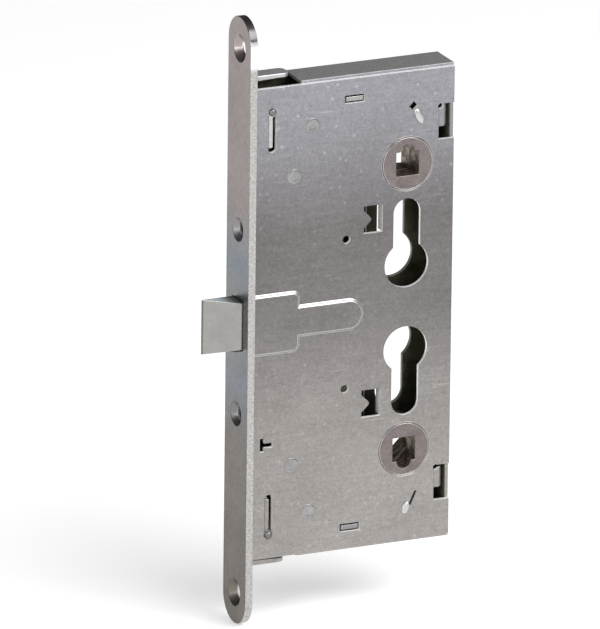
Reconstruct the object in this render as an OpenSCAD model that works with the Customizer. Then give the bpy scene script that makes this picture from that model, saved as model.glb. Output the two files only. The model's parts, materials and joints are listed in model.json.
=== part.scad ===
// Reversible mortise lock for a door edge: two followers, two profile cylinder cut-outs, one spring latch.
// X runs into the door, Y through the case from the cover to the back plate, Z up.
// The origin is the centre of the forend's back face, the face that seats in the door edge.

/* [Forend] */
// Width of the forend
forend_w = 20; // [19:0.5:24]
// Length of the forend over its round ends
forend_l = 235; // [232:1:245]
// Thickness of the forend
forend_t = 3; // [2.5:0.5:3.5]
// Distance between the two end fixing screws
screw_spacing = 211; // [208:1:214]
// Diameter of an end fixing screw hole
screw_hole_d = 5.6; // [5:0.1:6]
// Diameter of an end fixing screw's countersink
screw_head_d = 10.8; // [10:0.1:11.5]
// Diameter of a cylinder screw hole
cyl_screw_d = 5.5; // [5.2:0.1:5.8]
// Diameter of a cylinder screw's countersink
cyl_screw_head_d = 9.6; // [9:0.1:10.5]

/* [Case] */
// Depth of the case behind the forend
case_depth = 81; // [80:0.5:83]
// Height of the case over its top and bottom walls
case_h = 184.4; // [184:0.2:188]
// Height of the cover plate
cover_h = 182.4; // [182:0.2:184]
// Thickness of the case over both plates
case_t = 16; // [16:0.5:17]
// Thickness of the sheet metal
sheet = 1.5; // [1.4:0.1:1.5]
// Distance from the forend to the start of the top and bottom walls
wall_start = 19; // [17:0.5:20]
// Height that the latch housing stands out of the cover
emboss = 1; // [0.8:0.1:1.2]

/* [Followers] */
// Distance from the forend's front face to the followers and cylinders
backset = 65; // [65:0.5:66]
// Height of a follower's centre above and below the latch
follower_z = 55.5; // [55:0.5:56]
// Width of the square spindle hole
spindle_sq = 9.1; // [8.9:0.1:9.2]
// Diameter of a follower's boss
boss_d = 20.4; // [20:0.1:20.6]
// Angle that a handle turns a follower
follower_turn = 45; // [40:1:45]

/* [Profile cylinders] */
// Height of a cylinder's round part above and below the latch
cyl_z = 16.5; // [16.5:0.1:17]
// Diameter of the round part of a cylinder cut-out
cyl_d = 17.6; // [17.2:0.1:17.8]
// Width of the narrow part of a cylinder cut-out
cyl_slot_w = 10.8; // [10.4:0.1:11]
// Distance from the round part's centre to the end of the narrow part
cyl_drop = 25.5; // [25:0.1:25.6]
// Distance from the round part's centre to the cylinder's fixing screw
cyl_screw_drop = 19.3; // [19:0.1:19.5]

/* [Latch] */
// Distance that the latch stands out of the forend
latch_out = 12.4; // [12:0.1:13]
// Distance that the latch slides back
latch_travel = 12; // [11:0.1:12]
// Height of the latch's top above the latch line
latch_top = 8.6; // [8:0.1:9]
// Depth of the latch's near lower edge below the latch line
latch_low_near = 9.6; // [8.5:0.1:10]
// Depth of the latch's far lower edge below the latch line
latch_low_far = 12.8; // [12:0.1:13.6]

/* [Hidden] */
$fn = 64;

steel = [0.62, 0.62, 0.63];
zinc = [0.72, 0.72, 0.74];
sintered = [0.47, 0.43, 0.41];
spring_steel = [0.78, 0.78, 0.80];
gap = 0.01;
past = 1;

half_t = case_t / 2;
inner = half_t - sheet;
case_top = case_h / 2;
hub_x = backset - forend_t;
rear_in = case_depth - sheet;

// sizes of the inner works
latch_mid = -0.5;
latch_near = -5.2;
latch_far = 4.6;
head_back = 14;
stem_back = 50;
guide_x = 40;
guide_t = 1.8;
draw_y0 = -4.6;
draw_y1 = -3.1;
draw_front = 29;
draw_bar_w = 9;
draw_edge = 82;
draw_arm_low = 76.2;
lug_x = 65.8;
lug_t = 1.5;
lug_low = 66.8;
arm_r = 17;
arm_half_w = 3;
arm_y1 = -0.4;
disc_r = 11.2;
// radius of the round relief in the edge of a driving half's square
relief_r = 2.8;
disc_y1 = -0.15;
flange_y0 = -6.3;
notch_r = 10.3;
stop_r = 12;
stop_angle = 135;
stop_clear = 6.8;
ear_r = 14;
post = [76, 84];
spring_y = 3;
lever_pivot = [33, 42];
lever_tip = [48, 24];
lever_y0 = 3.2;
lever_y1 = 5.7;
lever_arm_w = 4.6;
lever_arm_x = 31.9;
lever_foot_z = 11.8;
drive_pin = [36, 11.5];
pillars = [[23.1, 74.9], [16.1, 56]];
slot_x = 7;
slot_z0 = 66.4;
slot_z1 = 83.7;
slot_w = 3;
spacer_at = [40.2, 83.2];
peen_z = 81.9;
notch_x = 74.4;
notch_z0 = 63.5;
notch_z1 = 77;
notch_flap_z = 68.2;
notch_flap_low = 72.3;
housing_corner = 2.6;
window_x0 = 44.5;
window_x1 = 52;
window_z0 = 30.5;
window_z1 = 41;

// plate standing in the XZ plane, between y0 and y1, drawn as (x, z)
module slab(y0, y1)
    rotate([90, 0, 0])
        translate([0, 0, -y1])
            linear_extrude(height = y1 - y0)
                children();

// plate standing in the YZ plane, between x0 and x1, drawn as (y, z)
module wall(x0, x1)
    rotate([90, 0, 90])
        translate([0, 0, x0])
            linear_extrude(height = x1 - x0)
                children();

// round bar along Y at p = [x, z]
module pin_y(p, r, y0, y1)
    translate([p[0], y1, p[1]])
        rotate([90, 0, 0])
            cylinder(r = r, h = y1 - y0);

// flat shapes
module box2(x0, z0, x1, z1)
    translate([x0, z0])
        square([x1 - x0, z1 - z0]);

module slot2(p, q, w) {
    d = q - p;
    translate(p)
        rotate(atan2(d[1], d[0])) {
            translate([0, -w / 2])
                square([norm(d), w]);
            circle(d = w);
            translate([norm(d), 0])
                circle(d = w);
        }
}

module both()
    for (side = [1, -1])
        scale2(side)
            children();

module scale2(side)
    mirror([0, side < 0 ? 1 : 0])
        children();

module lower()
    mirror([0, 0, 1])
        children();

// cut-out for one profile cylinder
module cylinder_cut2() {
    translate([hub_x, cyl_z])
        circle(d = cyl_d);
    slot2([hub_x, cyl_z], [hub_x, cyl_z + cyl_drop - cyl_slot_w / 2], cyl_slot_w);
}

// openings that both plates share
module shared_cuts2()
    both() {
        cylinder_cut2();
        translate([hub_x, follower_z])
            circle(d = boss_d + 0.16);
        slot2([slot_x, slot_z0 + slot_w / 2], [slot_x, slot_z1 - slot_w / 2], slot_w);
        translate(spacer_at)
            square([7.9, 2.9], center = true);
        for (p = pillars)
            translate(p)
                circle(d = 5.4);
    }

// outline of the latch in the YZ plane, grown by g
module latch2(g = 0) {
    slope = (latch_low_far - latch_low_near) / (latch_far - latch_near);
    polygon([
        [latch_near - g, latch_top + g],
        [latch_far + g, latch_top + g],
        [latch_far + g, -latch_low_far - g * (1 + slope)],
        [latch_near - g, -latch_low_near - g * (1 - slope)],
    ]);
}

module forend() {
    half_l = forend_l / 2 - forend_w / 2;
    color(steel)
        difference() {
            wall(-forend_t, 0)
                difference() {
                    slot2([0, -half_l], [0, half_l], forend_w);
                    latch2(0.35);
                }
            for (side = [1, -1]) {
                countersink(side * screw_spacing / 2, screw_hole_d, screw_head_d);
                countersink(side * (cyl_z + cyl_screw_drop), cyl_screw_d, cyl_screw_head_d);
            }
        }
}

// countersunk hole through the forend at height z
module countersink(z, d, head_d)
    translate([-forend_t, 0, z])
        rotate([0, 90, 0]) {
            translate([0, 0, -past])
                cylinder(d = d, h = forend_t + 2 * past);
            translate([0, 0, -gap])
                cylinder(d1 = head_d, d2 = d, h = (head_d - d) / 2);
        }

// strap behind the forend: outer tab, leg, shelf and a tongue plate peened through both case plates
module bracket() {
    tab_w = 7;
    leg_w = 10;
    tab_reach = 16;
    tab_top = 95;
    tab_t = 2;
    corner = 2.6;
    plate_x0 = 5.6;
    plate_x1 = 7.4;
    translate([0, 0, tab_top - tab_t])
        linear_extrude(height = tab_t) {
            translate([0, -tab_w / 2])
                square([tab_reach - corner, tab_w]);
            translate([0, -tab_w / 2 + corner])
                square([tab_reach, tab_w - 2 * corner]);
            for (side = [1, -1])
                translate([tab_reach - corner, side * (tab_w / 2 - corner)])
                    circle(r = corner);
        }
    wall(0, tab_t)
        polygon([
            [-leg_w / 2, 62],
            [leg_w / 2, 62],
            [leg_w / 2, 89],
            [tab_w / 2, tab_top - tab_t],
            [-tab_w / 2, tab_top - tab_t],
            [-leg_w / 2, 89],
        ]);
    wall(0, plate_x1)
        box2(-leg_w / 2, 85, leg_w / 2, 87);
    wall(plate_x0, plate_x1)
        box2(-6.4, 67, 6.4, 87);
    wall(plate_x0, plate_x1)
        box2(-half_t + 0.1, 68, half_t - 0.1, peen_z);
    for (side = [0, 1])
        mirror([0, side, 0])
            translate([slot_x, -half_t, peen_z])
                rotate([90, 0, 0])
                    peen();
}

// head of a peened tongue, with its neck in the slot
module peen() {
    translate([0, 0, -sheet])
        cylinder(r = 1.3, h = sheet);
    rotate_extrude()
        intersection() {
            translate([0, -0.5])
                circle(r = 1.7);
            square([2, 2]);
        }
}

module upper_forend_bracket()
    color(zinc)
        bracket();

module lower_forend_bracket()
    color(zinc)
        lower()
            bracket();

module case_shell()
    color(zinc)
        difference() {
            union() {
                slab(inner, half_t)
                    box2(0, -case_top, case_depth, case_top);
                slab(-inner, inner) {
                    both()
                        box2(wall_start, case_top - sheet, case_depth, case_top);
                    box2(rear_in, -case_top, case_depth, case_top);
                }
            }
            slab(inner - past, half_t + past) {
                shared_cuts2();
                guide_tabs2();
                both() {
                    translate(lever_pivot)
                        circle(r = 2);
                    translate(post)
                        circle(r = 1.25);
                    translate(stop_at())
                        circle(r = 1.5);
                }
            }
        }

function stop_at() = [hub_x, follower_z] + stop_r * [cos(stop_angle), sin(stop_angle)];

module guide_tabs2()
    both()
        box2(guide_x, 4, guide_x + guide_t, 8);

// latch housing pressed out of the cover, from its foot at y0 to its top at y1
module housing(y0, y1, inset) {
    pad_back = 18.6;
    tongue_back = 44.5;
    slope = 0.8;
    for (part = [[-inset - past, pad_back, 11.8], [0, tongue_back - 6.1, 6.1]])
        hull() {
            slab(y0 - gap, y0)
                housing2(part, inset);
            slab(y1, y1 + gap)
                housing2(part, inset + slope);
        }
}

module housing2(part, inset) {
    back = part[1] - inset;
    half = part[2] - inset;
    corner = housing_corner - inset / 2;
    if (part[0] < 0) {
        box2(0, -half, back - corner, half);
        for (side = [-1, 1])
            translate([back - corner, side * (half - corner)])
                circle(r = corner);
    }
    else
        slot2([0, 0], [part[1], 0], 2 * half);
}

module case_cover()
    color(zinc)
        difference() {
            union() {
                difference() {
                    union() {
                        slab(-half_t, -inner)
                            box2(0, -cover_h / 2, case_depth - 0.3, cover_h / 2);
                        intersection() {
                            housing(-half_t + gap, -half_t - emboss, 0);
                            slab(-half_t - emboss, -half_t)
                                box2(0, -20, 60, 20);
                        }
                        nib_dome([64.9, 76.4], [67.7, 70.4]);
                        nib_dome([63.7, -76.2], [62.1, -81]);
                    }
                    slab(-half_t - 2 * past, -inner + past) {
                        shared_cuts2();
                        cover_cuts2();
                    }
                }
                both3()
                    window_flange();
                notch_flap(notch_flap_z, notch_z1 + 0.3);
                notch_flap(-notch_flap_low, -notch_z0 - 1.1);
            }
            intersection() {
                housing(-inner + gap, -inner - emboss, 1);
                slab(-inner - emboss, -inner + past)
                    box2(-past, -20, 60, 20);
            }
            for (z = [notch_z1 - 0.8, -notch_z0 - 0.8])
                pin_y([notch_x + 0.7, z], 1, -half_t - past, -inner + past);
        }

module both3()
    for (side = [0, 1])
        mirror([0, 0, side])
            children();

// openings in the cover only
module cover_cuts2() {
    both() {
        box2(notch_x, notch_z0, case_depth + past, notch_z1);
        window2();
        translate([37.5, 29])
            circle(d = 3);
    }
    translate([64.1, 77.6])
        rotate(45)
            square(2.6, center = true);
    slot2([67, -73], [64.9, -77.6], 1.5);
    box2(3.4, -49.3, 5, -44.2);
    box2(4.9, -47.8, 8.4, -46.2);
}

// window with a round bulge on its left
module window2()
    difference() {
        box2(window_x0, window_z0, window_x1, window_z1);
        window_tab2((window_z0 + window_z1) / 2);
    }

// blunt tab left standing on the window's left edge
module window_tab2(z)
    polygon([
        [window_x0 - past, window_z0 + 1],
        [window_x0 + 2.5, z - 1],
        [window_x0 + 3.1, z],
        [window_x0 + 2.5, z + 1],
        [window_x0 - past, window_z1 - 1],
    ]);

// lanced bump on the cover's outside, from p to q
module nib_dome(p, q) {
    run = q - p;
    mid = (p + q) / 2;
    translate([mid[0], -half_t, mid[1]])
        rotate([0, -atan2(run[1], run[0]), 0])
            scale([norm(run) / 2, 1, 1.5])
                sphere(r = 1, $fn = 24);
}

// tongue in the rear notch, bent in behind the cover
module notch_flap(z0, z1)
    translate([0, 0, z0])
        linear_extrude(height = z1 - z0)
            polygon([
                [notch_x - 0.2, -half_t + 0.4],
                [76.7, -half_t + 0.4],
                [78.5, -half_t + 2.4],
                [78.5, -half_t + 3],
                [76.2, -inner + 0.4],
                [notch_x - 0.2, -inner + 0.4],
            ]);

// flange turned in along the window's right edge
module window_flange()
    slab(-inner - gap, -3.9)
        box2(window_x1, window_z0, window_x1 + 1.2, window_z1);

module case_pillars()
    color(zinc)
        both3()
            for (p = pillars) {
                pin_y(p, 3.5, -inner, inner);
                pin_y(p, 2.7, -half_t, half_t);
            }

// strap between the plates that the draw plate slides along
module spacer() {
    slab(-inner, inner)
        box2(33, 82.3, 47, 84.1);
    slab(-half_t + 0.2, half_t - 0.2)
        box2(36.7, 82.3, 43.7, 84.1);
}

module upper_spacer()
    color(zinc)
        spacer();

module lower_spacer()
    color(zinc)
        lower()
            spacer();

module follower_stop_pins()
    color(steel)
        both3()
            pin_y(stop_at(), 1.5, -inner, half_t);

module return_spring_posts()
    color(steel)
        both3()
            pin_y(post, 1.25, 0.4, half_t);

module key_lever_pins()
    color(steel)
        both3() {
            pin_y(lever_pivot, 2, 0, half_t);
            pin_y(lever_pivot, 3, -0.6, 0);
        }

// fork that carries the stem and backs the latch spring
module latch_guide()
    color(zinc) {
        wall(guide_x, guide_x + guide_t)
            difference() {
                box2(-2.9, -8.9, 6.4, 8.9);
                box2(-3.9, -2.7, 1.1, 2.7);
            }
        slab(6.4, half_t)
            guide_tabs2();
    }

module latch_head()
    color(steel)
        difference() {
            intersection() {
                wall(-forend_t - latch_out, head_back)
                    latch2();
                translate([0, 0, -30])
                    linear_extrude(height = 60)
                        latch_plan2();
            }
            wall(6, head_back + past)
                stem2();
            pin_y([10, 0], 1.5, -7, 6);
        }

// latch seen from above: a bevel from the near side to the tip
module latch_plan2() {
    tip = -forend_t - latch_out;
    root = -forend_t - 0.6;
    polygon([
        [head_back, latch_near],
        [root, latch_near],
        [tip, latch_far - 0.7],
        [tip, latch_far],
        [head_back, latch_far],
    ]);
}

module stem2()
    box2(draw_y1, -2.5, 0.9, 2.5);

module latch_stem()
    color(zinc)
        difference() {
            wall(6, stem_back)
                stem2();
            pin_y([10, 0], 1.5, -7, 6);
            pin_y([46.5, 0], 1.5, -7, 6);
        }

module latch_rivets()
    color(steel) {
        pin_y([10, 0], 1.5, latch_near, latch_far);
        pin_y([46.5, 0], 1.5, draw_y0, 0.9);
        pin_y([46.5, 0], 2.4, draw_y0 - 0.8, draw_y0);
        pin_y([46.5, 0], 2.4, 0.9, 1.7);
    }

// half of the draw plate's outline, above the latch line
module draw_half2() {
    bar_back = draw_front + draw_bar_w;
    polygon([
        [draw_front, 5.6],
        [43, 5.6],
        [43, 0],
        [stem_back, 0],
        [stem_back, 7.4],
        [bar_back, 7.4],
        [bar_back, draw_arm_low],
        [lug_x + lug_t, draw_arm_low],
        [lug_x + lug_t, draw_edge],
        [draw_front, draw_edge],
    ]);
}

// C-shaped plate that the followers and key levers pull back, with a lug at each end
module draw_plate()
    color(zinc)
        difference() {
            union() {
                slab(draw_y0, draw_y1)
                    both()
                        draw_half2();
                both3()
                    wall(lug_x, lug_x + lug_t)
                        box2(draw_y0, lug_low, arm_y1, draw_edge);
            }
            pin_y([46.5, 0], 1.5, -7, 6);
            both3()
                pin_y(drive_pin, 1.5, -7, 6);
        }

module draw_plate_pins()
    color(steel)
        both3() {
            pin_y(drive_pin, 1.5, draw_y0, lever_y1);
            pin_y(drive_pin, 2.2, draw_y1, draw_y1 + 0.8);
        }

// round wire with n sides, swept along a list of [point, side direction] pairs
module wire(path, r, n) {
    count = len(path);
    verts = [for (i = [0 : count - 1]) each ring(path, i, count, r, n)];
    sides = [for (i = [0 : count - 2]) for (k = [0 : n - 1])
        [i * n + k, i * n + (k + 1) % n, (i + 1) * n + (k + 1) % n, (i + 1) * n + k]];
    start = [for (k = [n - 1 : -1 : 0]) k];
    end = [for (k = [0 : n - 1]) (count - 1) * n + k];
    polyhedron(verts, concat(sides, [start], [end]), convexity = 10);
}

function unit(v) = v / norm(v);

// ring of wire round point i, square to the path
function ring(path, i, count, r, n) =
    let (
        ahead = unit(path[min(i + 1, count - 1)][0] - path[max(i - 1, 0)][0]),
        out = unit(path[i][1] - (path[i][1] * ahead) * ahead),
        up = cross(out, ahead)
    )
    [for (k = [0 : n - 1]) path[i][0] + r * (cos(360 * k / n) * out + sin(360 * k / n) * up)];

// coil along Z, starting and ending at angle -90, with closed turns at both ends
function coil(mean_r, length, turns, wire_r, steps) = [
    for (i = [0 : turns * steps])
        let (
            t = i / steps,
            side = [sin(360 * t), -cos(360 * t), 0],
            z = wire_r + rise(t, turns, length - 2 * wire_r, 2.1 * wire_r)
        )
        [mean_r * side + [0, 0, z], side]
];

// height after t turns when the first and last turns are closed
function rise(t, turns, length, pitch) =
    t < 1 ? t * pitch :
    t > turns - 1 ? length - (turns - t) * pitch :
    pitch + (t - 1) / (turns - 2) * (length - 2 * pitch);

// hook of an extension spring: most of a circle in the XZ plane round the height z, from angle a to b
function hook(y, z, r, a, b, steps) = [
    for (i = [0 : steps])
        let (angle = a + (b - a) * i / steps)
        [[r * cos(angle), y, z + r * sin(angle)], [0, -1, 0]]
];

module latch_spring()
    color(spring_steel)
        translate([head_back + 0.05, latch_mid, 0])
            rotate([0, 90, 0])
                wire(coil(4.45, guide_x - head_back - 0.1, 9, 0.55, 12), 0.55, 6);

// extension spring between a follower's ear and its post
module return_spring() {
    r = 1.85;
    wire_r = 0.38;
    low = follower_z + 3.6;
    high = post[1] - 3.6;
    body = [for (p = coil(r, high - low, 18, wire_r, 8)) [p[0] + [0, 0, low], p[1]]];
    translate([post[0], spring_y, 0])
        wire(concat(
            hook(-r, follower_z, r, -200, 60, 7),
            body,
            hook(-r, post[1], r, -60, 200, 7)
        ), wire_r, 5);
}

module upper_return_spring()
    color(spring_steel)
        return_spring();

module lower_return_spring()
    color(spring_steel)
        lower()
            return_spring();

// torsion spring round a key lever's pin
module key_lever_spring() {
    translate([lever_pivot[0], 3.05, lever_pivot[1]])
        rotate([90, 0, 0])
            wire(coil(2.65, 2.95, 3, 0.35, 12), 0.35, 5);
}

module upper_key_lever_spring()
    color(spring_steel)
        key_lever_spring();

module lower_key_lever_spring()
    color(spring_steel)
        lower()
            key_lever_spring();

// one follower half on the near side, with its stop notch, turned by angle from upright
module follower_half(angle, driving)
    translate([hub_x, 0, follower_z])
        rotate([0, angle, 0])
            difference() {
                union() {
                    pin_y([0, 0], boss_d / 2, -half_t, disc_y1);
                    slab(flange_y0, disc_y1)
                        difference() {
                            circle(r = disc_r);
                            stop_notch2();
                        }
                    if (driving)
                        follower_arm();
                }
                slab(-half_t - past, disc_y1 + past) {
                    square(spindle_sq, center = true);
                    if (driving)
                        translate([0, spindle_sq / 2])
                            circle(r = relief_r);
                }
            }

module follower_arm() {
    slab(draw_y0, arm_y1) {
        slot2([0, boss_d / 2], [0, arm_r], 2 * arm_half_w);
        slot2([boss_d / 2, 0], [ear_r, 0], 3.6);
    }
    pin_y([ear_r, 0], 1, arm_y1 - gap, 5.2);
}

// gap in the disc's rim that the stop pin stands in
module stop_notch2() {
    first = stop_angle - stop_clear;
    last = stop_angle + follower_turn + stop_clear;
    difference() {
        polygon([
            [0, 0],
            for (i = [0 : 4])
                let (a = first + (last - first) * i / 4)
                15 * [cos(a), sin(a)],
        ]);
        circle(r = notch_r);
    }
}

module far_side()
    mirror([0, 1, 0])
        children();

module upper_follower_near()
    color(sintered)
        follower_half(0, true);

module upper_follower_far()
    color(sintered)
        far_side()
            follower_half(0, false);

module lower_follower_near()
    color(sintered)
        lower()
            follower_half(0, true);

module lower_follower_far()
    color(sintered)
        lower()
            far_side()
                follower_half(follower_turn, false);

// bell-crank that a cylinder's cam turns to pull the draw plate back
module key_lever() {
    slab(lever_y0, lever_y1)
        difference() {
            union() {
                translate(lever_pivot)
                    circle(r = 5);
                slot2([lever_arm_x, lever_pivot[1] - 2], [lever_arm_x, lever_foot_z], lever_arm_w);
                slot2(lever_pivot, lever_tip, 4.4);
            }
            translate(lever_pivot)
                circle(r = 2.05);
        }
}

module upper_key_lever()
    color(zinc)
        key_lever();

module lower_key_lever()
    color(zinc)
        lower()
            key_lever();

forend();
upper_forend_bracket();
lower_forend_bracket();
case_shell();
case_cover();
case_pillars();
upper_spacer();
lower_spacer();
follower_stop_pins();
return_spring_posts();
key_lever_pins();
latch_guide();
latch_head();
latch_stem();
latch_rivets();
draw_plate();
draw_plate_pins();
latch_spring();
upper_follower_near();
upper_follower_far();
lower_follower_near();
lower_follower_far();
upper_return_spring();
lower_return_spring();
upper_key_lever();
lower_key_lever();
upper_key_lever_spring();
lower_key_lever_spring();
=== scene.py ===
"""Looks of a mortise lock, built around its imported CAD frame."""

import json
import math

import bmesh
import bpy
from mathutils import Matrix, Vector

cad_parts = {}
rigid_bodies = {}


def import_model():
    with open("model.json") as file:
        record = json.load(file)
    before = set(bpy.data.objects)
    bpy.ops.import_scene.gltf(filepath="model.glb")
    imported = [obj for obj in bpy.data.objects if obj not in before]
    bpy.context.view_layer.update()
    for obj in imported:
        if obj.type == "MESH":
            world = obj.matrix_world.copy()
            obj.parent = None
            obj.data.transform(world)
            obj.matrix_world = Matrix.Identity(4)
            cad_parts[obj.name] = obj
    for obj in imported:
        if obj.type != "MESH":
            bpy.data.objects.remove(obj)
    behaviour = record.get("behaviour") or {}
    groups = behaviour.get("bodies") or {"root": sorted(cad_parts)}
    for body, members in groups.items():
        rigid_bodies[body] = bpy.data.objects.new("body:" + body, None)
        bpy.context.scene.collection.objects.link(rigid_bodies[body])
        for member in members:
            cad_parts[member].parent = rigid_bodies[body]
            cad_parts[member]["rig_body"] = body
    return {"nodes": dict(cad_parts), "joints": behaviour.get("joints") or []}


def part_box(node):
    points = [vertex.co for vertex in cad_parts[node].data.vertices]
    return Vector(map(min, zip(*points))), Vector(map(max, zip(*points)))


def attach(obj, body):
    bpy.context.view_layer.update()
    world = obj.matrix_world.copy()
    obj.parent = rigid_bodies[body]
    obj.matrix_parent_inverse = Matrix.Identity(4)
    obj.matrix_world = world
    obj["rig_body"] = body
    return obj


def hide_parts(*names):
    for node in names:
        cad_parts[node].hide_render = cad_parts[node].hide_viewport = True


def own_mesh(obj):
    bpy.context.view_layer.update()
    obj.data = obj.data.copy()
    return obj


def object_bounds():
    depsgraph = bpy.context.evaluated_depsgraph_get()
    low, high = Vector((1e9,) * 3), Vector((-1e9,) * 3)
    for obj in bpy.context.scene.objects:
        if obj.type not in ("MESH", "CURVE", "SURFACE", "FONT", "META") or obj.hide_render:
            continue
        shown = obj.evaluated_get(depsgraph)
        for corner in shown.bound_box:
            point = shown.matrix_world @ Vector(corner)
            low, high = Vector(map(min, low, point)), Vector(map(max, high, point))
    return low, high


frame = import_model()
nodes = frame["nodes"]
cad_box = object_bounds()

MM = 0.001
SHARP = math.radians(28)
RING_STEPS = 56


# ---------------------------------------------------------------- shader graph


class Graph:
    """A Principled material whose textures are laid out in millimetres on the object."""

    def __init__(self, name):
        self.material = bpy.data.materials.new(name)
        self.material.use_nodes = True
        self.tree = self.material.node_tree
        self.tree.nodes.clear()
        out = self.tree.nodes.new("ShaderNodeOutputMaterial")
        self.shader = self.tree.nodes.new("ShaderNodeBsdfPrincipled")
        self.tree.links.new(self.shader.outputs["BSDF"], out.inputs["Surface"])
        coords = self.tree.nodes.new("ShaderNodeTexCoord")
        scale = self.tree.nodes.new("ShaderNodeVectorMath")
        scale.operation = "SCALE"
        scale.inputs["Scale"].default_value = 1000
        self.tree.links.new(coords.outputs["Object"], scale.inputs[0])
        self.place = scale.outputs[0]
        self.facing = coords.outputs["Normal"]

    def put(self, socket, value):
        if isinstance(value, bpy.types.NodeSocket):
            self.tree.links.new(value, socket)
        elif isinstance(value, tuple) and len(value) == 3 and len(socket.default_value) == 4:
            socket.default_value = (*value, 1.0)
        else:
            socket.default_value = value

    def sum(self, kind, a, b=0.0, clamp=False):
        n = self.tree.nodes.new("ShaderNodeMath")
        n.operation = kind
        n.use_clamp = clamp
        self.put(n.inputs[0], a)
        self.put(n.inputs[1], b)
        return n.outputs[0]

    def stretch(self, x=1.0, y=1.0, z=1.0):
        n = self.tree.nodes.new("ShaderNodeVectorMath")
        n.operation = "MULTIPLY"
        self.put(n.inputs[0], self.place)
        n.inputs[1].default_value = (x, y, z)
        return n.outputs[0]

    def noise(self, scale, detail=2.0, rough=0.5, where=None, twist=0.0):
        n = self.tree.nodes.new("ShaderNodeTexNoise")
        self.put(n.inputs["Vector"], where or self.place)
        n.inputs["Scale"].default_value = scale
        n.inputs["Detail"].default_value = detail
        n.inputs["Roughness"].default_value = rough
        n.inputs["Distortion"].default_value = twist
        return n.outputs["Fac"]

    def cells(self, scale, where=None, feature="F1", output="Distance"):
        n = self.tree.nodes.new("ShaderNodeTexVoronoi")
        n.feature = feature
        self.put(n.inputs["Vector"], where or self.place)
        n.inputs["Scale"].default_value = scale
        return n.outputs[output]

    def part(self, vector, axis):
        n = self.tree.nodes.new("ShaderNodeSeparateXYZ")
        self.put(n.inputs[0], vector)
        return n.outputs["XYZ".index(axis)]

    def fade(self, value, low, high, first=0.0, last=1.0):
        n = self.tree.nodes.new("ShaderNodeMapRange")
        n.interpolation_type = "SMOOTHSTEP"
        self.put(n.inputs["Value"], value)
        n.inputs["From Min"].default_value = low
        n.inputs["From Max"].default_value = high
        n.inputs["To Min"].default_value = first
        n.inputs["To Max"].default_value = last
        return n.outputs["Result"]

    def ramp(self, value, stops):
        n = self.tree.nodes.new("ShaderNodeValToRGB")
        self.put(n.inputs[0], value)
        points = n.color_ramp.elements
        while len(points) < len(stops):
            points.new(0.5)
        for point, (at, colour) in zip(points, stops):
            point.position = at
            point.color = (*colour, 1.0)
        return n.outputs["Color"]

    def mix(self, share, a, b, kind="MIX"):
        n = self.tree.nodes.new("ShaderNodeMix")
        n.data_type = "RGBA"
        n.blend_type = kind
        self.put(n.inputs[0], share)
        self.put(n.inputs[6], a)
        self.put(n.inputs[7], b)
        return n.outputs[2]

    def times(self, colour, factor):
        n = self.tree.nodes.new("ShaderNodeVectorMath")
        n.operation = "SCALE"
        self.put(n.inputs[0], colour)
        self.put(n.inputs["Scale"], factor)
        return n.outputs[0]

    def bump(self, height, depth_mm, below=None):
        n = self.tree.nodes.new("ShaderNodeBump")
        self.put(n.inputs["Height"], height)
        n.inputs["Distance"].default_value = depth_mm * MM
        n.inputs["Strength"].default_value = 1.0
        if below is not None:
            self.put(n.inputs["Normal"], below)
        return n.outputs["Normal"]

    def finish(self, colour, rough, normal, metal=1.0):
        self.put(self.shader.inputs["Base Color"], colour)
        self.put(self.shader.inputs["Roughness"], rough)
        self.put(self.shader.inputs["Normal"], normal)
        self.put(self.shader.inputs["Metallic"], metal)
        return self.material

    def around(self, axis):
        """1 where the surface faces along an axis, 0 where it faces across it"""
        return self.fade(self.sum("ABSOLUTE", self.part(self.facing, axis)), 0.45, 0.75)


# ------------------------------------------------------------------- materials


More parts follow.
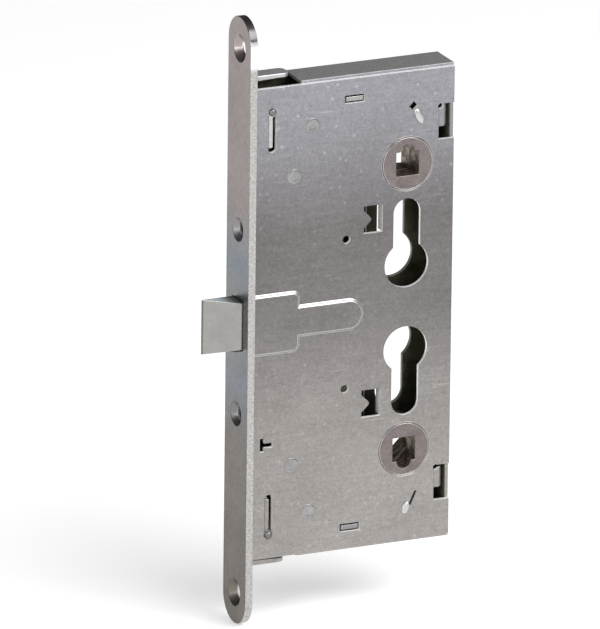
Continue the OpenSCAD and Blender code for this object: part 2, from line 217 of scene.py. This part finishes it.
def zinc_sheet(name, upper, middle, lower, edge, inside, edge_axis="Y"):
    """Galvanised sheet: fine spangle on its faces, bright sheared metal on its cut edges (near white on
    the cover as a painted highlight), oily inside; its colour also carries painted light and shade by
    height, painted highlights on pressed slopes and bumps, and painted shade behind the window.
    """
    g = Graph(name)
    # painted light and shade: the base colour changes with height, band by band, standing in for
    # reflections on the flat sheet
    height = g.fade(g.part(g.place, "Z"), -95, 95)
    pale = tuple(0.88 * c for c in lower)
    upper_band_painted_shade = tuple(0.92 * c for c in middle)
    base = g.ramp(height, [(0.0, lower), (0.24, pale), (0.5, middle), (0.76, upper_band_painted_shade), (1.0, upper)])
    broad = g.fade(g.noise(0.03, 2.0, 0.5), 0.3, 0.7, 0.94, 1.06)
    spangle = g.fade(g.noise(0.5, 4.0, 0.75, twist=0.8), 0.3, 0.7, 0.93, 1.07)
    grain = g.fade(g.noise(1.1, 3.0, 0.8), 0.3, 0.7, 0.88, 1.12)
    rolled = g.fade(g.noise(0.5, 3.0, 0.7, where=g.stretch(0.12, 1.0, 1.6)), 0.3, 0.7, 0.95, 1.05)
    flecks = g.fade(g.cells(0.22), 0.05, 0.2, 0.22, 0.0)
    flecks = g.sum("MULTIPLY", flecks, g.fade(g.part(g.place, "Z"), 20, 90, 1.0, 2.2))
    drawn_out = g.noise(0.5, 2.0, 0.5, where=g.stretch(0.1, 1.0, 2.4), twist=0.3)
    scratch = g.fade(drawn_out, 0.66, 0.74, 0.0, 0.3)
    shade = g.sum("MULTIPLY", g.sum("MULTIPLY", broad, spangle), g.sum("MULTIPLY", grain, rolled))
    shade = g.sum("ADD", g.sum("ADD", shade, flecks), scratch)
    face = g.times(base, shade)
    # cut edges take the edge colour: sheared metal, on the cover near white as a painted highlight
    cut = g.sum("SUBTRACT", 1.0, g.around(edge_axis))
    streak = g.fade(g.noise(2.6, 2.0, 0.6, where=g.stretch(1.0, 0.25, 1.0)), 0.3, 0.7, 0.85, 1.08)
    colour = g.mix(cut, face, g.times(edge, streak))
    depth = g.sum("ABSOLUTE", g.part(g.place, "Y"))
    within = g.fade(depth, 6.52, 6.75, 1.0, 0.0)
    across = g.sum("ABSOLUTE", g.part(g.place, "Z"))
    within = g.sum("MULTIPLY", within, g.fade(across, 90.85, 91.1, 1.0, 0.0))
    within = g.sum("MULTIPLY", within, g.fade(g.part(g.place, "X"), 79.55, 79.8, 1.0, 0.0))
    # the window's flange is taken out of the inside tint so it keeps the bright edge colour: a painted
    # highlight
    past_window = g.fade(g.part(g.place, "X"), 51.6, 51.9)
    before_flange = g.fade(g.part(g.place, "X"), 52.1, 52.4, 1.0, 0.0)
    lit_flange = g.sum("MULTIPLY", past_window, before_flange)
    lit_flange = g.sum("MULTIPLY", lit_flange, g.fade(depth, 3.6, 3.8))
    within = g.sum("SUBTRACT", within, lit_flange, clamp=True)
    # painted shade: inner faces behind the window, short of the cylinder cut-outs and away from the
    # middle, are darkened to 12 percent
    behind_window = g.fade(g.part(g.place, "X"), 40.0, 43.0)
    before_cylinder = g.fade(g.part(g.place, "X"), 56.0, 58.0, 1.0, 0.0)
    painted_shade_behind_window = g.sum("MULTIPLY", behind_window, before_cylinder)
    painted_shade_behind_window = g.sum("MULTIPLY", painted_shade_behind_window, g.fade(across, 18.0, 22.0))
    inner_grain_with_painted_shade = g.sum("MULTIPLY", shade, g.sum("SUBTRACT", 1.0, g.sum("MULTIPLY", painted_shade_behind_window, 0.88)))
    colour = g.mix(within, colour, g.times(inside, inner_grain_with_painted_shade))
    satin = g.fade(g.noise(0.4, 3.0), 0.3, 0.7, 0.36, 0.5)
    rough = g.sum("ADD", satin, g.sum("MULTIPLY", cut, -0.1))
    relief = g.sum("ADD", g.noise(0.8, 4.0, 0.7), g.sum("MULTIPLY", g.noise(3.5, 2.0), 0.4))
    tilted = g.fade(g.sum("ABSOLUTE", g.part(g.facing, "Y")), 0.9, 0.985, 1.0, 0.0)
    # painted highlight: the pressed emboss slopes are lightened a third of the way to the edge colour, and
    # up-facing slopes and the lanced bumps get a stronger painted glint
    emboss_slope = g.sum("MULTIPLY", g.fade(depth, 8.02, 8.1), tilted)
    lanced = g.sum("MULTIPLY", g.fade(depth, 8.04, 8.25), g.fade(across, 60.0, 61.0))
    rising = g.fade(g.part(g.facing, "Z"), 0.12, 0.4)
    colour = g.mix(g.sum("MULTIPLY", emboss_slope, 0.34), colour, edge)
    glint = g.sum("MAXIMUM", g.sum("MULTIPLY", emboss_slope, rising), lanced)
    colour = g.mix(glint, colour, tuple(0.52 * c for c in edge))
    proud = g.fade(depth, 8.02, 8.1)
    cut = g.sum("MULTIPLY", cut, g.sum("SUBTRACT", 1.0, proud))
    rough = g.sum("SUBTRACT", rough, g.sum("MULTIPLY", emboss_slope, 0.1))
    metal = g.sum("SUBTRACT", 1.0, g.sum("MULTIPLY", cut, 0.55))
    return g.finish(colour, rough, g.bump(relief, 0.035), metal)


def satin_steel(name):
    """Rolled and ground forend strip: fine lengthwise grain on the face, sheared sides; its colour also
    carries painted light and shade by height and on the rounded end.
    """
    g = Graph(name)
    # painted light and shade: the colour runs from darker brown low down, through bluish bands, to lighter
    # at the top
    height = g.fade(g.part(g.place, "Z"), -118, 118)
    base = g.ramp(
        height,
        [
            (0.0, (0.157, 0.138, 0.122)),
            (0.22, (0.164, 0.145, 0.131)),
            (0.36, (0.17, 0.19, 0.215)),
            (0.5, (0.2, 0.19, 0.17)),
            (0.64, (0.19, 0.215, 0.245)),
            (0.78, (0.272, 0.236, 0.226)),
            (1.0, (0.29, 0.248, 0.238)),
        ],
    )
    grain = g.noise(1.6, 4.0, 0.65, where=g.stretch(1.0, 2.2, 0.16))
    cloud = g.fade(g.noise(0.06, 3.0, 0.55), 0.3, 0.7, 0.93, 1.07)
    shade = g.sum("MULTIPLY", g.fade(grain, 0.3, 0.7, 0.94, 1.06), cloud)
    face = g.times(base, shade)
    side = g.sum("SUBTRACT", 1.0, g.around("X"))
    torn = g.noise(1.5, 3.0, 0.7, where=g.stretch(0.6, 1.0, 1.0))
    torn_shade = g.fade(torn, 0.3, 0.7)
    smooth_end = g.fade(g.part(g.place, "Z"), 98.5, 101.5)
    sheared = g.mix(torn_shade, (0.25, 0.243, 0.236), (0.46, 0.45, 0.44))
    # painted light and shade on the forend's rounded end: near white where it faces sideways, near black
    # where it faces up
    round_end = g.fade(g.part(g.facing, "Z"), 0.2, 0.32)
    painted_end_light_and_shade = g.mix(round_end, (0.92, 0.92, 0.92), (0.1, 0.1, 0.1))
    sheared = g.mix(smooth_end, sheared, painted_end_light_and_shade)
    colour = g.mix(side, face, sheared)
    ground = g.fade(g.noise(0.5, 3.0), 0.3, 0.7, 0.24, 0.36)
    rough = g.sum("ADD", ground, g.sum("MULTIPLY", side, 0.04))
    rough = g.sum("SUBTRACT", rough, g.sum("MULTIPLY", smooth_end, 0.12))
    first = g.bump(grain, 0.012)
    rough_side = g.sum("SUBTRACT", side, smooth_end, clamp=True)
    relief = g.sum("MULTIPLY", torn, rough_side)
    metal = g.sum("SUBTRACT", 1.0, g.sum("MULTIPLY", rough_side, 0.5))
    return g.finish(colour, rough, g.bump(relief, 0.06, first), metal)


def machined(name, base, low=0.24, high=0.4, along="Z"):
    """Turned or milled steel with light tool marks and a thin film of oil."""
    g = Graph(name)
    lines = {"X": (0.15, 2.4, 2.4), "Y": (2.4, 0.15, 2.4), "Z": (2.4, 2.4, 0.15)}[along]
    marks = g.noise(1.3, 4.0, 0.6, where=g.stretch(*lines))
    cloud = g.fade(g.noise(0.16, 3.0, 0.55), 0.3, 0.7, 0.86, 1.14)
    shade = g.sum("MULTIPLY", g.fade(marks, 0.3, 0.7, 0.9, 1.1), cloud)
    rough = g.fade(g.noise(0.45, 3.0), 0.3, 0.7, low, high)
    return g.finish(g.times(base, shade), rough, g.bump(marks, 0.02))


def latch_metal(name):
    """Milled latch head: flat satin bevel; top and bottom painted bright towards the tip and dark towards
    the root as painted highlight and shade.
    """
    g = Graph(name)
    marks = g.noise(1.3, 4.0, 0.6, where=g.stretch(2.4, 0.15, 2.4))
    cloud = g.fade(g.noise(0.16, 3.0, 0.55), 0.3, 0.7, 0.94, 1.06)
    shade = g.sum("MULTIPLY", g.fade(marks, 0.3, 0.7, 0.95, 1.05), cloud)
    along = g.part(g.place, "X")
    # painted highlight and shade: the flat top and bottom run from near white at the tip to near black at
    # the root
    painted_tip_light = g.ramp(
        g.fade(along, -15.4, -2.5),
        [(0.0, (0.95, 0.97, 0.98)), (0.5, (0.78, 0.86, 0.92)), (1.0, (0.12, 0.12, 0.11))],
    )
    flat = g.around("Z")
    # painted shade: the face darkens to 0.45 of its colour past the very tip
    tip = g.fade(along, -15.3, -14.7, 0.45, 1.0)
    face = g.times((0.278, 0.274, 0.264), g.sum("MULTIPLY", shade, tip))
    colour = g.mix(flat, face, painted_tip_light)
    rough = g.fade(g.noise(0.45, 3.0), 0.3, 0.7, 0.24, 0.36)
    metal = g.sum("SUBTRACT", 1.0, g.sum("MULTIPLY", flat, 0.6))
    return g.finish(colour, rough, g.bump(marks, 0.015), metal)


def sintered(name, base):
    """Pressed and sintered steel: fine pores, darker and oily inside the square."""
    g = Graph(name)
    pores = g.cells(2.6)
    grain = g.fade(g.noise(1.2, 4.0, 0.7), 0.28, 0.72, 0.84, 1.16)
    cloud = g.fade(g.noise(0.2, 3.0, 0.6), 0.3, 0.7, 0.9, 1.12)
    flat = g.around("Y")
    inside = g.sum("SUBTRACT", 1.0, flat)
    outer = g.times(base, g.sum("MULTIPLY", grain, cloud))
    oil = g.mix(g.fade(g.noise(0.5, 3.0), 0.35, 0.65), (0.13, 0.09, 0.07), (0.34, 0.3, 0.25))
    colour = g.mix(inside, outer, oil)
    rough = g.fade(g.noise(0.8, 3.0), 0.3, 0.7, 0.38, 0.56)
    relief = g.sum("ADD", g.noise(1.8, 3.0, 0.6), g.fade(pores, 0.0, 0.25, -0.5, 0.0))
    return g.finish(colour, rough, g.bump(relief, 0.05))


def spring_wire(name):
    """Drawn spring steel, dark, with a slightly blued film."""
    g = Graph(name)
    film = g.fade(g.noise(0.35, 3.0, 0.6), 0.3, 0.7)
    colour = g.mix(film, (0.13, 0.125, 0.12), (0.26, 0.25, 0.24))
    draw = g.noise(3.0, 3.0, 0.6)
    return g.finish(colour, g.fade(draw, 0.3, 0.7, 0.24, 0.42), g.bump(draw, 0.015))


def floor_paint(name):
    """Pale matt studio board."""
    g = Graph(name)
    tone = g.fade(g.noise(0.006, 3.0), 0.3, 0.7, 0.985, 1.0)
    fibre = g.noise(0.9, 3.0, 0.6)
    g.shader.inputs["Emission Color"].default_value = (1.0, 1.0, 1.0, 1.0)
    g.shader.inputs["Emission Strength"].default_value = 0.34
    matt = g.fade(fibre, 0.3, 0.7, 0.7, 0.8)
    return g.finish(g.times((0.93, 0.93, 0.93), tone), matt, g.bump(fibre, 0.01), 0.0)


# upper, middle and lower colours are painted light and shade by height; the cover's near white edge colour
# is sheared metal plus a painted highlight
cover_zinc = zinc_sheet(
    "cover_zinc",
    (0.265, 0.262, 0.284),
    (0.172, 0.162, 0.161),
    (0.305, 0.288, 0.276),
    (0.95, 0.95, 0.94),
    (0.2, 0.19, 0.14),
)
shell_zinc = zinc_sheet(
    "shell_zinc",
    (0.265, 0.262, 0.284),
    (0.172, 0.162, 0.161),
    (0.305, 0.288, 0.276),
    (0.3, 0.296, 0.296),
    (0.2, 0.19, 0.14),
)
# the brackets are lighter at the top and darker at the bottom as painted light and shade
bracket_zinc = zinc_sheet(
    "bracket_zinc",
    (0.46, 0.46, 0.47),
    (0.4, 0.39, 0.38),
    (0.3, 0.28, 0.26),
    (0.34, 0.34, 0.34),
    (0.45, 0.45, 0.44),
)
inner_zinc = machined("inner_zinc", (0.13, 0.122, 0.095), 0.35, 0.5)
forend_steel = satin_steel("forend_steel_satin")
latch_steel = latch_metal("latch_steel_milled")
pin_steel = machined("pin_steel_turned", (0.5, 0.49, 0.47), 0.22, 0.36, "X")
peened_zinc = machined("peened_zinc", (0.27, 0.265, 0.265), 0.26, 0.38)
rim_metal = machined("rim_polished", (0.36, 0.345, 0.34), 0.2, 0.3, "X")
follower_metal = sintered("follower_sintered", (0.185, 0.16, 0.157))
wire_metal = spring_wire("spring_wire_dark")

finish_of = {
    "forend": forend_steel,
    "case_cover": cover_zinc,
    "case_shell": shell_zinc,
    "case_pillars": peened_zinc,
    "upper_forend_bracket": bracket_zinc,
    "lower_forend_bracket": bracket_zinc,
    "upper_spacer": peened_zinc,
    "lower_spacer": peened_zinc,
    "latch_guide": inner_zinc,
    "latch_stem": inner_zinc,
    "draw_plate": inner_zinc,
    "upper_key_lever": inner_zinc,
    "lower_key_lever": inner_zinc,
    "latch_head": latch_steel,
}
for name, node in nodes.items():
    material = finish_of.get(name)
    if material is None and "spring" in name and "post" not in name:
        material = wire_metal
    elif material is None and "follower" in name and "pin" not in name:
        material = follower_metal
    elif material is None:
        material = pin_steel
    if not node.material_slots:
        node.data.materials.append(material)
    for slot in node.material_slots:
        slot.material = material


# ---------------------------------------------------------- edges of CAD nodes


def clean_group():
    """Joins the triangles' corners and shades smooth except over sharp edges."""
    group = bpy.data.node_groups.new("clean_edges", "GeometryNodeTree")
    group.interface.new_socket("Geometry", in_out="INPUT", socket_type="NodeSocketGeometry")
    group.interface.new_socket("Geometry", in_out="OUTPUT", socket_type="NodeSocketGeometry")
    start = group.nodes.new("NodeGroupInput")
    merge = group.nodes.new("GeometryNodeMergeByDistance")
    merge.inputs["Distance"].default_value = 1e-6
    drop = group.nodes.new("GeometryNodeRemoveAttribute")
    drop.inputs["Name"].default_value = "custom_normal"
    faces = group.nodes.new("GeometryNodeSetShadeSmooth")
    faces.domain = "FACE"
    faces.inputs["Shade Smooth"].default_value = True
    edges = group.nodes.new("GeometryNodeSetShadeSmooth")
    edges.domain = "EDGE"
    edges.inputs["Shade Smooth"].default_value = False
    angle = group.nodes.new("GeometryNodeInputMeshEdgeAngle")
    sharp = group.nodes.new("FunctionNodeCompare")
    sharp.data_type = "FLOAT"
    sharp.operation = "GREATER_THAN"
    sharp.inputs["B"].default_value = SHARP
    end = group.nodes.new("NodeGroupOutput")
    link = group.links.new
    link(start.outputs[0], merge.inputs["Geometry"])
    link(merge.outputs[0], drop.inputs["Geometry"])
    link(drop.outputs[0], faces.inputs["Geometry"])
    link(faces.outputs[0], edges.inputs["Geometry"])
    link(angle.outputs["Unsigned Angle"], sharp.inputs["A"])
    link(sharp.outputs[0], edges.inputs["Selection"])
    link(edges.outputs[0], end.inputs[0])
    return group


def weight_group(name, share, raised, fillet):
    """Sets each sharp edge's share of the bevel: raised where it stands proud of the cover."""
    group = bpy.data.node_groups.new(name, "GeometryNodeTree")
    group.interface.new_socket("Geometry", in_out="INPUT", socket_type="NodeSocketGeometry")
    group.interface.new_socket("Geometry", in_out="OUTPUT", socket_type="NodeSocketGeometry")
    link = group.links.new

    def number(kind, a, b):
        n = group.nodes.new("ShaderNodeMath")
        n.operation = kind
        for socket, value in zip(n.inputs, (a, b)):
            if isinstance(value, bpy.types.NodeSocket):
                link(value, socket)
            else:
                socket.default_value = value
        return n.outputs[0]

    start = group.nodes.new("NodeGroupInput")
    angle = group.nodes.new("GeometryNodeInputMeshEdgeAngle")
    place = group.nodes.new("ShaderNodeSeparateXYZ")
    link(group.nodes.new("GeometryNodeInputPosition").outputs[0], place.inputs[0])
    proud = number("LESS_THAN", place.outputs["Y"], -0.0085)
    base = number("LESS_THAN", number("ABSOLUTE", number("ADD", place.outputs["Y"], 0.008), 0.0), 0.0002)
    hollow = number("LESS_THAN", angle.outputs["Signed Angle"], 0.0)
    foot = number("MULTIPLY", base, hollow)
    sharp = number("GREATER_THAN", angle.outputs["Unsigned Angle"], SHARP)
    # the lanced bumps near the rear edge keep their sharp edges
    across = number("ABSOLUTE", place.outputs["Z"], 0.0)
    bump = number("MULTIPLY", number("GREATER_THAN", across, 0.0685), number("LESS_THAN", across, 0.0825))
    bump = number("MULTIPLY", bump, number("GREATER_THAN", place.outputs["X"], 0.059))
    bump = number("MULTIPLY", bump, number("LESS_THAN", place.outputs["X"], 0.0705))
    weight = number("MAXIMUM", number("MULTIPLY", proud, raised), number("MULTIPLY", foot, fillet))
    weight = number("MULTIPLY", number("MAXIMUM", weight, share), sharp)
    if raised != share:
        weight = number("MULTIPLY", weight, number("SUBTRACT", 1.0, bump))
    store = group.nodes.new("GeometryNodeStoreNamedAttribute")
    store.data_type = "FLOAT"
    store.domain = "EDGE"
    store.inputs["Name"].default_value = "bevel_weight_edge"
    end = group.nodes.new("NodeGroupOutput")
    link(start.outputs[0], store.inputs["Geometry"])
    link(weight, store.inputs["Value"])
    link(store.outputs[0], end.inputs[0])
    return group


clean_edges = clean_group()
cover_weights = weight_group("cover_weights", 0.28, 0.62, 0.45)
even_weights = weight_group("even_weights", 1.0, 1.0, 1.0)
edge_mm = {
    "forend": 0.25,
    "case_cover": 1.0,
    "case_shell": 0.35,
    "latch_head": 0.3,
    "upper_forend_bracket": 0.55,
    "lower_forend_bracket": 0.55,
    "case_pillars": 0.2,
    "upper_follower_near": 0.35,
    "lower_follower_near": 0.35,
}
for name, node in nodes.items():
    clean = node.modifiers.new("clean", "NODES")
    clean.node_group = clean_edges
    if "spring" in name and "post" not in name:
        continue
    flat = node.modifiers.new("flat", "DECIMATE")
    flat.decimate_type = "DISSOLVE"
    flat.angle_limit = math.radians(0.8)
    weigh = node.modifiers.new("weigh", "NODES")
    weigh.node_group = cover_weights if name == "case_cover" else even_weights
    bevel = node.modifiers.new("edges", "BEVEL")
    bevel.limit_method = "WEIGHT"
    bevel.width = edge_mm.get(name, 0.28) * MM
    bevel.segments = 3
    bevel.use_clamp_overlap = False
    bevel.harden_normals = True


# --------------------------------------------------------------- added details


def turned(name, centre, side, profile, material, body):
    """A ring turned about Y. The profile's points are (radius, height above centre) in mm."""
    bm = bmesh.new()
    rows = []
    for k in range(RING_STEPS):
        turn = 2 * math.pi * k / RING_STEPS
        rows.append(
            [
                bm.verts.new(
                    (
                        centre[0] + r * MM * math.cos(turn),
                        centre[1] + side * h * MM,
                        centre[2] + r * MM * math.sin(turn),
                    )
                )
                for r, h in profile
            ]
        )
    for k in range(RING_STEPS):
        near, far = rows[k], rows[(k + 1) % RING_STEPS]
        for j in range(len(profile)):
            i = (j + 1) % len(profile)
            bm.faces.new((near[j], near[i], far[i], far[j]))
    bmesh.ops.recalc_face_normals(bm, faces=bm.faces)
    mesh = bpy.data.meshes.new(name)
    bm.to_mesh(mesh)
    bm.free()
    mesh.polygons.foreach_set("use_smooth", [True] * len(mesh.polygons))
    piece = bpy.data.objects.new(name, mesh)
    bpy.context.scene.collection.objects.link(piece)
    mesh.materials.append(material)
    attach(piece, body)
    return piece


def loose_boxes(name):
    """(lowest corner, highest corner) of each separate solid in a CAD node"""
    bm = bmesh.new()
    bm.from_mesh(nodes[name].data)
    bmesh.ops.remove_doubles(bm, verts=bm.verts, dist=1e-6)
    left = set(bm.verts)
    boxes = []
    while left:
        stack = [left.pop()]
        found = []
        while stack:
            v = stack.pop()
            found.append(v.co.copy())
            for e in v.link_edges:
                other = e.other_vert(v)
                if other in left:
                    left.remove(other)
                    stack.append(other)
        boxes.append(
            (
                Vector([min(c[i] for c in found) for i in range(3)]),
                Vector([max(c[i] for c in found) for i in range(3)]),
            )
        )
    bm.free()
    return sorted(boxes, key=lambda b: (round(b[0].x, 4), round(b[0].z, 4)))


# struck ends of the pillars, on both plates
PEENED = [
    (0.05, -0.3),
    (0.05, 0.06),
    (0.8, 0.05),
    (1.35, 0.02),
    (1.75, 0.13),
    (2.1, 0.2),
    (2.45, 0.15),
    (2.72, 0.03),
    (2.86, -0.03),
    (2.86, -0.3),
]
for k, (low, high) in enumerate(loose_boxes("case_pillars")):
    for side, y in ((-1, low.y), (1, high.y)):
        spot = ((low.x + high.x) / 2, y, (low.z + high.z) / 2)
        face = "near" if side < 0 else "far"
        turned(f"pillar_peen_{k}_{face}", spot, side, PEENED, peened_zinc, "case")

# the real latch spring shortens as the latch comes in; here a copy of the CAD spring rides on the case and
# the CAD spring is hidden
low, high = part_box("latch_spring")
coil = bpy.data.objects.new("latch_spring_wire", nodes["latch_spring"].data.copy())
bpy.context.scene.collection.objects.link(coil)
coil.modifiers.new("clean", "NODES").node_group = clean_edges
coil.data.materials.clear()
coil.data.materials.append(wire_metal)
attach(coil, "case")
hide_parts("latch_spring")
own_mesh(coil)

# rolled rim of each follower's boss, and the burr round its hole
RIM = [(9.72, -0.2), (9.76, 0.0), (9.86, 0.07), (9.98, 0.07), (10.1, -0.02), (10.14, -0.12), (10.14, -0.2)]
BURR = [(10.5, -0.3), (10.52, -0.02), (10.6, 0.06), (10.68, 0.03), (10.74, -0.03), (10.74, -0.3)]
for joint in frame["joints"]:
    if not joint["name"].endswith("follower_turn"):
        continue
    side = 1 if "idle" in joint["name"] else -1
    node = next(n for n in nodes if nodes[n]["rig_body"] == joint["child"] and "follower" in n)
    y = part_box(node)[1].y if side > 0 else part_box(node)[0].y
    spot = (joint["pos_m"][0], y, joint["pos_m"][2])
    turned(joint["child"] + "_rim", spot, side, RIM, rim_metal, joint["child"])
    turned(joint["child"] + "_burr", spot, side, BURR, rim_metal, "case")


# ------------------------------------------------------------------ the studio


def floor_board(below):
    side = 8.0
    mesh = bpy.data.meshes.new("floor")
    bm = bmesh.new()
    bmesh.ops.create_grid(bm, x_segments=8, y_segments=8, size=side)
    bm.to_mesh(mesh)
    bm.free()
    board = bpy.data.objects.new("floor", mesh)
    board.location = (0, 0, below)
    bpy.context.scene.collection.objects.link(board)
    board.data.materials.append(floor_paint("studio_board"))


def soft_light(name, place, aim, width, depth, power, colour):
    data = bpy.data.lights.new(name, "AREA")
    data.shape = "RECTANGLE"
    data.size = width
    data.size_y = depth
    data.energy = power
    data.color = colour
    lamp = bpy.data.objects.new(name, data)
    lamp.location = place
    lamp.rotation_euler = (Vector(aim) - Vector(place)).to_track_quat("-Z", "Y").to_euler()
    bpy.context.scene.collection.objects.link(lamp)


def tent_light(world):
    """A light tent: pale in front, dim overhead and towards the back."""
    world.use_nodes = True
    tree = world.node_tree
    link = tree.links.new
    back = tree.nodes["Background"]
    parts = tree.nodes.new("ShaderNodeSeparateXYZ")
    link(tree.nodes.new("ShaderNodeTexCoord").outputs["Generated"], parts.inputs[0])

    def span(value, low, high, first, last):
        n = tree.nodes.new("ShaderNodeMapRange")
        n.interpolation_type = "SMOOTHSTEP"
        link(value, n.inputs["Value"])
        for socket, number in zip(("From Min", "From Max", "To Min", "To Max"), (low, high, first, last)):
            n.inputs[socket].default_value = number
        return n.outputs["Result"]

    high = span(parts.outputs["Z"], 0.3, 0.9, 0.0, 0.12)
    front = span(parts.outputs["Y"], -0.6, 0.4, 0.7, 0.12)
    add = tree.nodes.new("ShaderNodeMath")
    add.operation = "ADD"
    link(high, add.inputs[0])
    link(front, add.inputs[1])
    back.inputs["Color"].default_value = (1.0, 1.0, 1.0, 1.0)
    link(add.outputs[0], back.inputs["Strength"])


def studio():
    low, high = cad_box
    middle = (low + high) / 2
    floor_board(low.z - 0.0002)
    world = bpy.data.worlds.new("studio")
    tent_light(world)
    bpy.context.scene.world = world
    soft_light("key", (0.55, -0.85, 0.95), middle, 1.3, 0.8, 17.0, (1.0, 1.0, 1.0))
    soft_light("left_front", (-1.2, -0.8, 0.5), middle, 0.8, 1.0, 7.0, (1.0, 0.99, 0.97))
    scene = bpy.context.scene
    scene.view_settings.view_transform = "Standard"
    scene.view_settings.look = "None"


def photo_camera():
    """A long lens on the lock's front left corner, a little above it."""
    azimuth = math.radians(-24.605)
    rise = math.radians(18.092)
    roll = math.radians(0.663)
    distance = 6.0
    view_width = 0.2218
    right = Vector((math.cos(azimuth), math.sin(azimuth), 0))
    back = Vector(
        (math.sin(azimuth) * math.cos(rise), -math.cos(azimuth) * math.cos(rise), math.sin(rise))
    )
    up = back.cross(right)
    turned_right = math.cos(roll) * right + math.sin(roll) * up
    turned_up = -math.sin(roll) * right + math.cos(roll) * up
    aim = Vector((0.037, 0, 0)) - 0.0131 * turned_right - 0.0022 * turned_up
    data = bpy.data.cameras.new("photo_camera")
    data.sensor_fit = "HORIZONTAL"
    data.sensor_width = 36
    data.lens = 36 * distance / view_width
    data.clip_start = 0.1
    data.clip_end = 60
    camera = bpy.data.objects.new("photo_camera", data)
    spin = Matrix((turned_right, turned_up, back)).transposed().to_4x4()
    camera.matrix_world = Matrix.Translation(aim + distance * back) @ spin
    bpy.context.scene.collection.objects.link(camera)
    bpy.context.scene.camera = camera


studio()
photo_camera()
